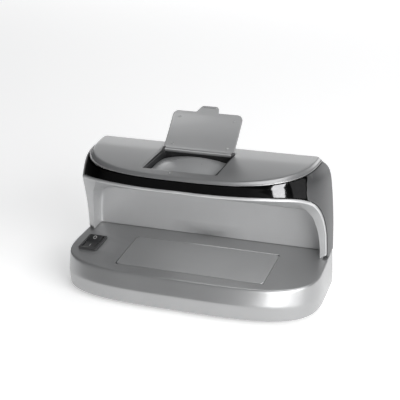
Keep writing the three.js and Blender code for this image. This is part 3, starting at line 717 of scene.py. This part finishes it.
# ---- Head --------------------------------------------------------------------------------------
def head_corner_path(z, inset=0.0, back_count=14, side_count=26):
    """Right half of the rear housing's plan at a height: middle of the back to the front end."""
    half_width, reach, back = head_section(z)
    half_width -= inset
    reach -= inset
    back += inset
    corner = HEAD_CORNER_RADIUS
    front = min(joint_distance(z) - GAP / 2, edge_distance(z))
    points = [((half_width - corner) * i / back_count, -back) for i in range(back_count)]
    for i in range(9):
        a = math.radians(90 * (1 - i / 8))
        points.append((
            half_width - corner + corner * math.cos(a), -back - corner + corner * math.sin(a)))
    start = back + corner
    for i in range(1, side_count + 1):
        distance = start + (front - start) * i / side_count
        side = superellipse_x(half_width - front_lean(z, distance), reach, distance)
        points.append((side, -distance))
    return points


VENT_COUNT = 9
VENT_PITCH = 9
VENT_HEIGHT = 78
VENT_HALF_LENGTH = 6.7
VENT_RADIUS = 1.3


def both_sides(right):
    """A row made whole from its right half, which starts in the middle."""
    return [(-x, y) for x, y in reversed(right[1:])] + right


def rear_housing():
    heights = [30.9 + (LIP_HEIGHT - GAP - 30.9) * (i / 44) for i in range(45)]
    rows = []
    for i, z in enumerate(heights):
        row = both_sides(head_corner_path(z))
        drop = max(0, 1 - i / 3)
        rows.append([(x, y, z + (tray_height(y) + GAP - 30.9) * drop) for x, y in row])
    for inset, rise in ((0.5, 0.12), (2.2, 0.15)):
        row = both_sides(head_corner_path(LIP_HEIGHT - GAP, inset))
        rows.append([(x, y, LIP_HEIGHT - GAP + rise - 0.1) for x, y in row])
    piece = piece_for("rear_housing_detailed", sheet_mesh(rows), ["rear_housing"])
    thicken(piece, 2.2)
    vents = []
    for i in range(VENT_COUNT):
        x = (i - VENT_COUNT // 2) * VENT_PITCH
        ring = []
        for k in range(24):
            a = 2 * math.pi * k / 24
            end = VENT_HEIGHT + math.copysign(VENT_HALF_LENGTH, math.sin(a))
            ring.append((x + VENT_RADIUS * math.cos(a), end + VENT_RADIUS * math.sin(a)))
        vents.append(loft([[(px, y, pz) for px, pz in ring] for y in (-6, 3)], True, True))
    bpy.context.view_layer.update()
    carve(piece, merge(*vents))
    ease_edges(piece, 0.35, angle=40)
    smooth(piece, 35)


def visor_band():
    rows = []
    columns, rises = 64, 16
    power = 2 / HEAD_SQUARENESS
    for r in range(rises + 1):
        share = r / rises
        row = []
        for c in range(-columns, columns + 1):
            u = abs(c) / columns  # 0 in the middle of the front, 1 at the rear ends
            distance = HEAD_REACH
            for _ in range(3):
                z = edge_height(distance) + (LIP_HEIGHT - GAP - edge_height(distance)) * share
                half_width, reach, _back = head_section(z)
                first = math.asin(((joint_distance(z) + GAP / 2) / reach) ** (1 / power))
                angle = math.pi / 2 + (first - math.pi / 2) * (0.35 * u + 0.65 * u ** 1.6)
                distance = reach * math.sin(angle) ** power
            x = (half_width - front_lean(z, distance)) * max(0.0, math.cos(angle)) ** power
            row.append((math.copysign(x, c) if c else 0.0, -distance, z))
        rows.append(row)
    piece = piece_for("visor_band_detailed", sheet_mesh(rows), ["visor_band"])
    thicken(piece, 2.0)
    ease_edges(piece, 0.45, angle=40, segments=3)
    smooth(piece, 35)


def top_surface(y):
    """The cover's gentle fall towards the user."""
    return TOP_HEIGHT - 1.9 * (max(0, -y - 6) / 64) ** 2.4


# Edge of the cover from its underside outwards and up: [inset, share of the way from lip to top].
COVER_RIM = [
    (0.03, 0.05), (0.06, 0.14), (0.16, 0.22), (0.36, 0.27), (0.62, 0.28), (0.84, 0.24), (0.96, 0.1),
    (1.06, -0.02), (1.36, -0.02), (1.5, 0.14), (1.66, 0.28), (2.1, 0.44), (2.7, 0.64), (3.3, 0.82),
    (3.7, 0.9), (4.1, 0.95), (4.6, 0.985), (5.2, 1.0),
]
RIM_TAPER = 0.5
COVER_HALF_WIDTH = 85.2
COVER_REACH = HEAD_REACH - 1.3
COVER_BACK = 1.9


def top_cover():
    def ring(inset, back, z):
        corner = max(COVER_CORNER_RADIUS - 0.2 * inset, 0.8)
        points = outline(
            COVER_HALF_WIDTH - inset, COVER_REACH - inset, back, HEAD_SQUARENESS, corner, count=RING)
        return at_height(points, z)

    def lip_to_top(share):
        return lambda y: LIP_HEIGHT + (top_surface(y) - LIP_HEIGHT) * share

    rings = [
        ring(3.4, 5.5, LIP_HEIGHT + 0.4),
        ring(3.2, 5.2, LIP_HEIGHT),
        ring(0.4, 2.2, LIP_HEIGHT),
    ]
    edge = outline(
        COVER_HALF_WIDTH, COVER_REACH, COVER_BACK, HEAD_SQUARENESS, COVER_CORNER_RADIUS, count=RING)

    def rim_ring(inset, back, height):
        """The rim is narrower at the cover's two ends than along its front."""
        shaped = []
        for (x, y, _z), (edge_x, edge_y) in zip(ring(inset, back, 0), edge):
            width = 1 - RIM_TAPER * abs(edge_x / COVER_HALF_WIDTH) ** 9
            shaped.append((edge_x + (x - edge_x) * width, edge_y + (y - edge_y) * width))
        return at_height(shaped, height)

    rings += [
        rim_ring(inset, COVER_BACK + inset * 0.25, lip_to_top(share)) for inset, share in COVER_RIM
    ]
    rings.append(rim_ring(8.6, 4.6, top_surface))
    x0, x1 = LENS_X - WELL_WIDTH / 2, LENS_X + WELL_WIDTH / 2
    well = [
        (rounded_rectangle(x0 - grow, x1 + grow, WELL_FRONT - grow, WELL_BACK + grow, 1 + grow, RING),
         drop)
        for grow, drop in ((1.1, 0.0), (0.95, 0.06), (0.3, 0.7), (0.05, 0.95), (0, 1.3))
    ]
    rim = rings[-1]
    for share in (0.15, 0.35, 0.6, 0.85):
        row = [(a[0] + (b[0] - a[0]) * share, a[1] + (b[1] - a[1]) * share)
               for a, b in zip(rim, well[0][0])]
        rings.append(at_height(row, top_surface))
    rings += [at_height(points, lambda y, d=drop: top_surface(y) - d) for points, drop in well]
    rings.append(at_height(well[-1][0], LIP_HEIGHT + 0.4))
    bump = [(0.01, 0.55), (0.35, 0.5), (0.7, 0.3), (0.95, 0.0), (1.05, -0.3), (0.01, -0.3)]
    bump_x, bump_y = LENS_X - 5.2, WELL_FRONT - 4.6
    bump_part = turned([(r, top_surface(bump_y) + z) for r, z in bump], bump_x, bump_y, 24)
    piece = piece_for(
        "top_cover_detailed", merge(loft(rings, join=True), bump_part), ["top_cover"])
    # Painted shade: the well's inner wall, below its rounded edge, wears satin black to stand in for
    # the shadow inside the well; the moulded wall itself would be silver.
    piece.data.materials.append(MATERIALS["satin_black"])
    for face in piece.data.polygons:
        x, y, z = face.center / MM
        y -= SHIFT_Y
        in_well = x0 - 0.3 < x < x1 + 0.3 and WELL_FRONT - 0.3 < y < WELL_BACK + 0.3
        if in_well and z < top_surface(y) - 0.9:
            face.material_index = 1
    smooth(piece, 38)
    modifier(piece, "WEIGHTED_NORMAL", weight=60, keep_sharp=True)


def lens_frame():
    x0, x1 = LENS_X - WELL_WIDTH / 2 + GAP, LENS_X + WELL_WIDTH / 2 - GAP
    y0, y1 = WELL_FRONT + GAP, WELL_BACK - GAP
    rings = []
    for inset, z, radius in [(0, 91.6, 1.2), (0, 97.9, 1.2), (0.12, 98.12, 1.1), (0.35, 98.2, 1),
                             (0.85, 98.2, 0.9), (1.08, 98.12, 0.8), (1.2, 97.9, 0.7), (1.2, 93, 0.7),
                             (4, 93, 0.6), (4, 91.6, 0.6)]:
        ring = rounded_rectangle(x0 + inset, x1 - inset, y0 + inset, y1 - inset, radius, 160)
        rear_drop = 0.9 if z > 97 else 0
        rings.append([
            (px, py, z - (rear_drop if py > HINGE_Y + 0.6 and abs(px - LENS_X) < 25.7 else 0))
            for px, py in ring
        ])
    frame_part = loft(rings, join=True)
    ears = []
    for low, high in ((x0, x0 + 1.25), (x1 - 1.25, x1)):
        profile = [(HINGE_Y - 1.6, 97.2), (HINGE_Y + 1.6, 97.2)]
        for i in range(13):
            a = math.radians(180 * i / 12)
            profile.append((HINGE_Y + 1.6 * math.cos(a), HINGE_Z - 0.2 + 1.6 * math.sin(a)))
        ears.append(loft([[(px, py, pz) for py, pz in profile] for px in (low, high)], True, True))
    piece = piece_for("lens_frame_detailed", merge(frame_part, *ears), ["lens_frame"])
    smooth(piece, 30)


def magnifier_lens():
    x0, x1 = LENS_X - WELL_WIDTH / 2 + 1.8, LENS_X + WELL_WIDTH / 2 - 1.8
    y0, y1 = WELL_FRONT + 1.8, HINGE_Y - 2
    centre_y = (WELL_FRONT + WELL_BACK) / 2 - 1
    rings = []

    def dome(x, y):
        r2 = (x - LENS_X) ** 2 + (y - centre_y) ** 2
        return 98.1 - 96 + math.sqrt(96 * 96 - r2)

    edge = rounded_rectangle(x0, x1, y0, y1, 3.0, 128)
    rings.append([(x, y, 93.35) for x, y in edge])
    rings.append([(x, y, dome(x, y) - 0.35) for x, y in edge])
    cx, cy = (x0 + x1) / 2, (y0 + y1) / 2
    for share in (0.985, 0.96, 0.9, 0.8, 0.68, 0.55, 0.42, 0.3, 0.18, 0.08):
        ring = [(cx + (x - cx) * share, cy + (y - cy) * share) for x, y in edge]
        fall = 0.12 if share > 0.98 else 0.0
        rings.append([(x, y, dome(x, y) - fall) for x, y in ring])
    piece = piece_for("magnifier_lens_detailed", loft(rings, True, True), ["magnifier_lens"])
    smooth(piece, 40)


# ---- Lid ---------------------------------------------------------------------------------------
def lid_half(side, grip):
    """One side of the lid's outline, from its hinge to the middle of its finger grip."""
    half, corner = LID_WIDTH / 2, 4.2
    points = [(side * half, -2.2)]
    for i in range(13):
        a = math.pi / 2 * i / 12
        points.append((
            side * (half - corner * (1 - math.cos(a))), -LID_LENGTH + corner * (1 - math.sin(a))))
    tab = [(side * x, -LID_LENGTH - out) for x, out in zip(grip, (0, 4.3, 5.4))]
    return points + soften(tab, (side * 20, -LID_LENGTH), (-side * 2, -LID_LENGTH - 5.4))


def lid_outline():
    return lid_half(1, (8.0, 7.2, 5.6)) + lid_half(-1, (9.2, 6.4, 5.0))[::-1]


def lid_bow(y):
    """The thin lid bows a little between its hinge and its free edge."""
    share = min(1, max(0, (-y - 2) / (LID_LENGTH - 2)))
    return 0.5 * math.sin(math.pi * share)


def soften(corners, before, after, radius=1.0):
    """Replaces each corner of an open outline by a short arc."""
    chain = [before, *corners, after]
    points = []
    for a, b, c in zip(chain, chain[1:], chain[2:]):
        start = Vector(b).lerp(Vector(a), min(0.45, radius / math.dist(a, b)))
        end = Vector(b).lerp(Vector(c), min(0.45, radius / math.dist(b, c)))
        for i in range(5):
            t = i / 4
            p = start.lerp(Vector(b), t).lerp(Vector(b).lerp(end, t), t)
            points.append((p.x, p.y))
    return points


def sliced(part, cuts):
    """The part with rows of edges across it at the given distances from the hinge."""
    points, faces = part
    mesh = bmesh.new()
    corners = [mesh.verts.new(point) for point in points]
    for face in faces:
        mesh.faces.new([corners[i] for i in face])
    for cut in cuts:
        geometry = mesh.verts[:] + mesh.edges[:] + mesh.faces[:]
        bmesh.ops.bisect_plane(mesh, geom=geometry, plane_co=(0, cut, 0), plane_no=(0, 1, 0))
    mesh.verts.index_update()
    points = [tuple(corner.co) for corner in mesh.verts]
    faces = [[corner.index for corner in face.verts] for face in mesh.faces]
    mesh.free()
    return points, faces


def lid_plate(ring, thin, rows=14):
    """The lid's plate, with rounded edges, and rows across it that can follow its bow."""
    centre = (0.0, -LID_LENGTH / 2)
    rim = [(0.0, 0.45), (0.005, 0.2), (0.013, 0.05), (0.026, 0.0)]  # [share inwards, mm from face]
    rings = []
    for side, steps in ((-1, reversed(rim)), (1, rim)):
        for share, down in steps:
            rings.append([
                (x + (centre[0] - x) * share, y + (centre[1] - y) * share, side * (thin - down))
                for x, y in ring])
    return sliced(loft(rings, True, True), [-LID_LENGTH * i / rows for i in range(1, rows)])


def inspection_lid():
    half = LID_WIDTH / 2
    thin = LID_THICKNESS / 2
    plate = lid_plate(lid_outline(), thin)
    barrel_half = (WELL_WIDTH - 2 * GAP) / 2 - 1.3 - GAP
    web = block(-barrel_half, barrel_half, -3, -0.8, -thin + 0.05, thin - 0.05)
    barrel = rod_x(1.5, -barrel_half, barrel_half, 0, 0, 28, 0.2)
    ridge = rounded_rectangle(-5.2, 5.8, -LID_LENGTH - 4.7, -LID_LENGTH - 3.7, 0.45, 32)
    grips = [prism(ridge, 0, thin + 0.5), prism(ridge, -thin - 0.35, 0)]
    peg = [(0.95, -thin + 0.3), (0.95, -thin - 0.3), (0.8, -thin - 0.55), (0.5, -thin - 0.6),
           (0.3, -thin - 0.45), (0.01, -thin - 0.4)]
    pegs = [
        turned(peg, side * (half - 6), y, 20) for side in (-1, 1) for y in (-5.4, -LID_LENGTH + 5)
    ]
    place = (
        Matrix.Translation((LENS_X, HINGE_Y, HINGE_Z))
        @ Matrix.Rotation(-math.radians(LID_OPEN_ANGLE), 4, "X")
    )
    points, faces = merge(plate, web, barrel, *grips, *pegs)
    bowed = [(x, y, z + lid_bow(y)) for x, y, z in points]
    part = moved((bowed, faces), place)
    piece = piece_for("inspection_lid_detailed", part, ["inspection_lid"], body="lid")
    ease_edges(piece, 0.28, angle=50, segments=3)
    smooth(piece, 40)


# ---- Bay liner ---------------------------------------------------------------------------------
BAY_ROOF_VISIBLE = [
    (7.5, 60.4, 1.6), (8.0, 61.3, 0.8), (9.0, 61.9, 0.3), (13, 62.8, 0), (20, 66, 0), (28, 71.5, 0),
    (38, 79.3, 0), (50, 84, 0), (60, 86.3, 0), (70, 87.4, 0), (84, 88, 0),
]
LINER_INSET = WALL + GAP
LINER_THICKNESS = 1.5
SHOULDER_HEIGHT = 96  # above this the liner follows the head's section at this height
VIEW_APERTURE = (-34, 27, -57, -34)  # under the lens: x0, x1, y0, y1
LAMP_SLOT = (-62, 62, -23.5, -11.5)


def bay_row(distance):
    """Cross-section of the bill bay at a distance in front of the back, left foot to right."""
    _distance, roof, inset = catmull(BAY_ROOF_VISIBLE, distance)
    half_width = superellipse_x(92.5, HEAD_REACH + 2, min(distance, HEAD_REACH + 2))
    narrowing = min(1, max(0.35, (half_width - 7) / 84.6))

    def wall(z):
        return (88.8 - 0.0042 * max(0, z - 30) ** 1.9 - inset) * narrowing

    bottom = tray_height(-distance) + 0.2
    low = roof - BAY_CORNER_RADIUS
    levels = [bottom + (low - bottom) * i / 18 for i in range(19)]
    right = [(wall(z), z) for z in levels]
    centre = wall(low) - BAY_CORNER_RADIUS
    for i in range(1, 15):
        a = math.pi / 2 * i / 14
        right.append((
            centre + BAY_CORNER_RADIUS * math.cos(a), low + BAY_CORNER_RADIUS * math.sin(a)))
    right += [(centre * (1 - i / 30), roof) for i in range(1, 31)]
    left = [(-x, z) for x, z in right[:-1]]
    return left + right[::-1]


PROFILE_FINE = [(17.3, 26), (17.2, 32)]
PROFILE_FINE += [catmull(EDGE_PROFILE[1:6], 38 + (74 - 38) * i / 30, 1) for i in range(30)]
PROFILE_FINE += [catmull(EDGE_PROFILE, 30.5 + (82 - 30.5) * i / 50) for i in range(51)]


def shifted_profile(forward):
    """The side view of the head's lower edge moved forward and down by a distance."""
    points = []
    last = len(PROFILE_FINE) - 1
    for i, (d, z) in enumerate(PROFILE_FINE):
        a, b = PROFILE_FINE[max(0, i - 1)], PROFILE_FINE[min(last, i + 1)]
        length = math.dist(a, b)
        points.append((d + forward * (b[1] - a[1]) / length, z - forward * (b[0] - a[0]) / length))
    return points


def in_front_of(profile, distance, z):
    """True where a point lies in front of a side-view profile."""
    if distance > profile[-1][0]:
        return True
    for (d0, z0), (d1, z1) in zip(profile, profile[1:]):
        if z0 != z1 and min(z0, z1) <= z <= max(z0, z1):
            return distance > d0 + (d1 - d0) * (z - z0) / (z1 - z0)
    return False


def bay_sheet(profile, rows_deep=36):
    """Rows of the bay's inner surface from its back wall to where it leaves the head."""
    samples = [7.5 + (68.5 - 7.5) * (i / 260) ** 1.15 for i in range(261)]
    table = [bay_row(d) for d in samples]

    def outside(x, d, z):
        half_width, reach, _back = head_section(min(z, SHOULDER_HEIGHT))
        reach -= LINER_INSET
        return (in_front_of(profile, d, z) or d >= reach
                or abs(x) > superellipse_x(half_width - LINER_INSET, reach, d))

    rows = [[] for _ in range(rows_deep + 1)]
    for k in range(len(table[0])):
        last = next(
            (i for i in range(1, len(samples)) if outside(table[i][k][0], samples[i], table[i][k][1])),
            len(samples) - 1)
        for r, row in enumerate(rows):
            at = last * (r / rows_deep)
            i = min(int(at), len(samples) - 2)
            t = at - i
            (xa, za), (xb, zb) = table[i][k], table[i + 1][k]
            d = samples[i] + (samples[i + 1] - samples[i]) * t
            row.append((xa + (xb - xa) * t, -d, za + (zb - za) * t))
    return rows


def head_edge(forward, inset):
    """The head's lower edge moved forward, on the head's surface drawn in by an inset."""
    half = []
    for d, z in shifted_profile(forward):
        half_width, reach, _back = head_section(min(z, SHOULDER_HEIGHT))
        if d >= reach - inset:
            break
        if z >= tray_height(-d):
            half.append((superellipse_x(half_width - inset, reach - inset, d), -d, z))
    x, _y, z = half[-1]
    half_width, reach, _back = head_section(z)
    for i in range(1, 25):
        across = x * (1 - i / 24)
        front = superellipse_x(reach - inset, half_width - inset, across)
        half.append((across, -front, z + 0.02 * i))
    return [(-px, py, pz) for px, py, pz in half[:-1]] + half[::-1]


def matched(path, guide):
    """Points along a path at the same shares of its length as the guide's points."""
    def lengths(points):
        total = [0.0]
        for a, b in zip(points, points[1:]):
            total.append(total[-1] + math.dist(a, b))
        return total

    along, wanted = lengths(path), lengths(guide)
    result = []
    i = 0
    for value in wanted:
        target = along[-1] * value / wanted[-1]
        while i < len(path) - 2 and along[i + 1] < target:
            i += 1
        t = min(1, max(0, (target - along[i]) / ((along[i + 1] - along[i]) or 1)))
        result.append(tuple(p + (q - p) * t for p, q in zip(path[i], path[i + 1])))
    return result


def between(row, other, share):
    return [tuple(p + (q - p) * share for p, q in zip(a, b)) for a, b in zip(row, other)]


def bay_liner():
    inner = bay_sheet(shifted_profile(RIBBON_PROUD))
    floor_middle = [(0.0, -7.5, 30.4)] * len(inner[0])
    back_wall = [between(floor_middle, inner[0], share) for share in (0, 0.35, 0.7, 0.97)]
    rim = inner[-1]
    proud_edge = matched(head_edge(RIBBON_PROUD, RIBBON_INSET), rim)
    ribbon = [between(rim, proud_edge, share) for share in (0.03, 0.25, 0.5, 0.75, 0.97)]
    ribbon += [
        proud_edge,
        matched(head_edge(RIBBON_PROUD - 0.25, RIBBON_INSET - 0.2), rim),
        matched(head_edge(0.35, RIBBON_INSET - 0.2), rim),
    ]
    piece = piece_for(
        "bay_liner_detailed", sheet_mesh(back_wall + inner + ribbon), ["bay_liner"])
    face_the_user(piece.data)
    open_rectangle(piece.data, VIEW_APERTURE, 60)
    open_rectangle(piece.data, LAMP_SLOT, 50)
    thicken(piece, LINER_THICKNESS)
    smooth(piece, 32)


def open_rectangle(mesh, rectangle, low):
    """Opens a rectangle, seen from above, in the part of a sheet that lies over a height."""
    x0, x1, y0, y1 = rectangle
    work = bmesh.new()
    work.from_mesh(mesh)
    for axis, value in ((0, x0), (0, x1), (1, y0 + SHIFT_Y), (1, y1 + SHIFT_Y)):
        place, direction = Vector((0, 0, 0)), Vector((0, 0, 0))
        place[axis] = value * MM
        direction[axis] = 1
        faces = [face for face in work.faces if min(v.co.z for v in face.verts) > low * MM]
        edges = {edge for face in faces for edge in face.edges}
        points = {vertex for face in faces for vertex in face.verts}
        bmesh.ops.bisect_plane(
            work, geom=[*faces, *edges, *points], dist=1e-7, plane_co=place, plane_no=direction)
    inside = []
    for face in work.faces:
        centre = face.calc_center_median() / MM
        if x0 < centre.x < x1 and y0 < centre.y - SHIFT_Y < y1 and centre.z > low:
            inside.append(face)
    bmesh.ops.delete(work, geom=inside, context="FACES")
    work.to_mesh(mesh)
    work.free()


def face_the_user(mesh):
    """Turns an open sheet's faces so that its back wall looks out of the bay."""
    wall = max(mesh.polygons, key=lambda face: abs(face.normal.y) * face.area)
    if wall.normal.y > 0:
        mesh.flip_normals()


# ---- Camera, light and floor -------------------------------------------------------------------
CAMERA_AZIMUTH = 20.66
CAMERA_ELEVATION = 22.58
CAMERA_ROLL = -1.5
CAMERA_PLACE = (247.24, -679.44, 356.91)
CAMERA_LENS = 94.06


def camera():
    azimuth, elevation = math.radians(CAMERA_AZIMUTH), math.radians(CAMERA_ELEVATION)
    back = Vector((
        math.sin(azimuth) * math.cos(elevation), -math.cos(azimuth) * math.cos(elevation),
        math.sin(elevation)))
    right = Vector((math.cos(azimuth), math.sin(azimuth), 0))
    up = back.cross(right)
    roll = math.radians(CAMERA_ROLL)
    right, up = (
        right * math.cos(roll) + up * math.sin(roll), up * math.cos(roll) - right * math.sin(roll))
    data = bpy.data.cameras.new("camera")
    data.lens = CAMERA_LENS
    data.sensor_width = 36
    seen = linked("camera", data)
    place = Matrix((right, up, back)).transposed().to_4x4()
    x, y, z = CAMERA_PLACE
    place.translation = (x * MM, (y + SHIFT_Y) * MM, z * MM)
    seen.matrix_world = place
    bpy.context.scene.camera = seen


def area_light(name, place, target, size, power, roll=0.0, spread=180, only=(), without=()):
    """A soft box, out of the camera's sight. It can light only some pieces, or all but some."""
    data = bpy.data.lights.new(name, "AREA")
    data.shape = "RECTANGLE"
    data.size, data.size_y = size
    data.energy = power
    data.spread = math.radians(spread)
    lamp = linked(name, data)
    lamp.visible_camera = False
    lamp.location = place
    aim = (Vector(target) - Vector(place)).to_track_quat("-Z", "Y")
    lamp.rotation_euler = (aim.to_matrix() @ Matrix.Rotation(math.radians(roll), 3, "Z")).to_euler()
    if only or without:
        listed = bpy.data.collections.new(name + "_receivers")
        for piece_name in only or without:
            listed.objects.link(bpy.data.objects[piece_name])
        lamp.light_linking.receiver_collection = listed
        for entry in listed.collection_objects:
            entry.light_linking.link_state = "INCLUDE" if only else "EXCLUDE"
    return lamp


def around(azimuth, distance, height):
    """A point around the object: azimuth 0 is in front of it, 90 to the user's right."""
    a = math.radians(azimuth)
    return (distance * math.sin(a), -distance * math.cos(a), height)


def studio():
    """Lights, background and floor. Some lights reach one piece only, to match the photo."""
    scene = bpy.context.scene
    scene.view_settings.view_transform = "Standard"
    world = bpy.data.worlds.new("studio_world")
    world.use_nodes = True
    sky = world.node_tree.nodes["Background"]
    sky.inputs["Color"].default_value = (0.95, 0.97, 1.0, 1)
    sky.inputs["Strength"].default_value = 0.14
    scene.world = world
    size = 6.0
    mesh = bpy.data.meshes.new("floor")
    mesh.from_pydata(
        [(-size, -size, 0), (size, -size, 0), (size, size, 0), (-size, size, 0)], [], [(0, 1, 2, 3)])
    floor = linked("floor", mesh)
    paper = moulded("floor_paper", (0.88, 0.88, 0.88), 0.75, grain=60, bump=0.0, mottle=0.004,
                    wear=0.0, specular=0.1, scale=2.0)
    glow = paper.node_tree.nodes["Principled BSDF"]
    glow.inputs["Emission Color"].default_value = (1, 1, 1, 1)
    glow.inputs["Emission Strength"].default_value = 0.42
    mesh.materials.append(paper)
    middle = (0, 0, 0.06)
    visor, base, lid = "visor_band_detailed", "base_shell_detailed", "inspection_lid_detailed"
    area_light("overhead", (0.35, 0.15, 1.4), middle, (0.9, 0.8), 5)
    area_light("soft_box_right", around(55, 1.05, 0.42), middle, (0.9, 0.6), 14.5,
               without=(visor, base))
    area_light("base_soft_box", around(42, 1.05, 0.42), middle, (1.3, 0.6), 14, only=(base,))
    for name, azimuth, width, power in (("visor_glint", 62, 0.3, 215), ("visor_sheen", 97, 0.5, 13)):
        area_light(name, around(azimuth, 0.95, 0.42), middle, (width, 1.5), power, roll=-21,
                   only=(visor,))
    area_light("backdrop", (0, 1.5, 0.36), middle, (2.6, 0.66), 9)
    area_light("lid_light", (-0.5, -0.51, 1.0), (0, 0, 0.11), (0.6, 0.5), 1.9, only=(lid,))
    area_light("bay_lamp", (0.035, -0.012, 0.08), (0.035, -0.014, 0.03), (0.12, 0.02), 0.011,
               spread=110)
    area_light("bay_lamp_left", (-0.07, 0.018, 0.08), (-0.093, 0.045, 0.03), (0.02, 0.012), 0.14)


camera()
base_shell()
watermark_window()
feet()
switch_pieces()
rear_housing()
visor_band()
top_cover()
lens_frame()
magnifier_lens()
inspection_lid()
bay_liner()
studio()
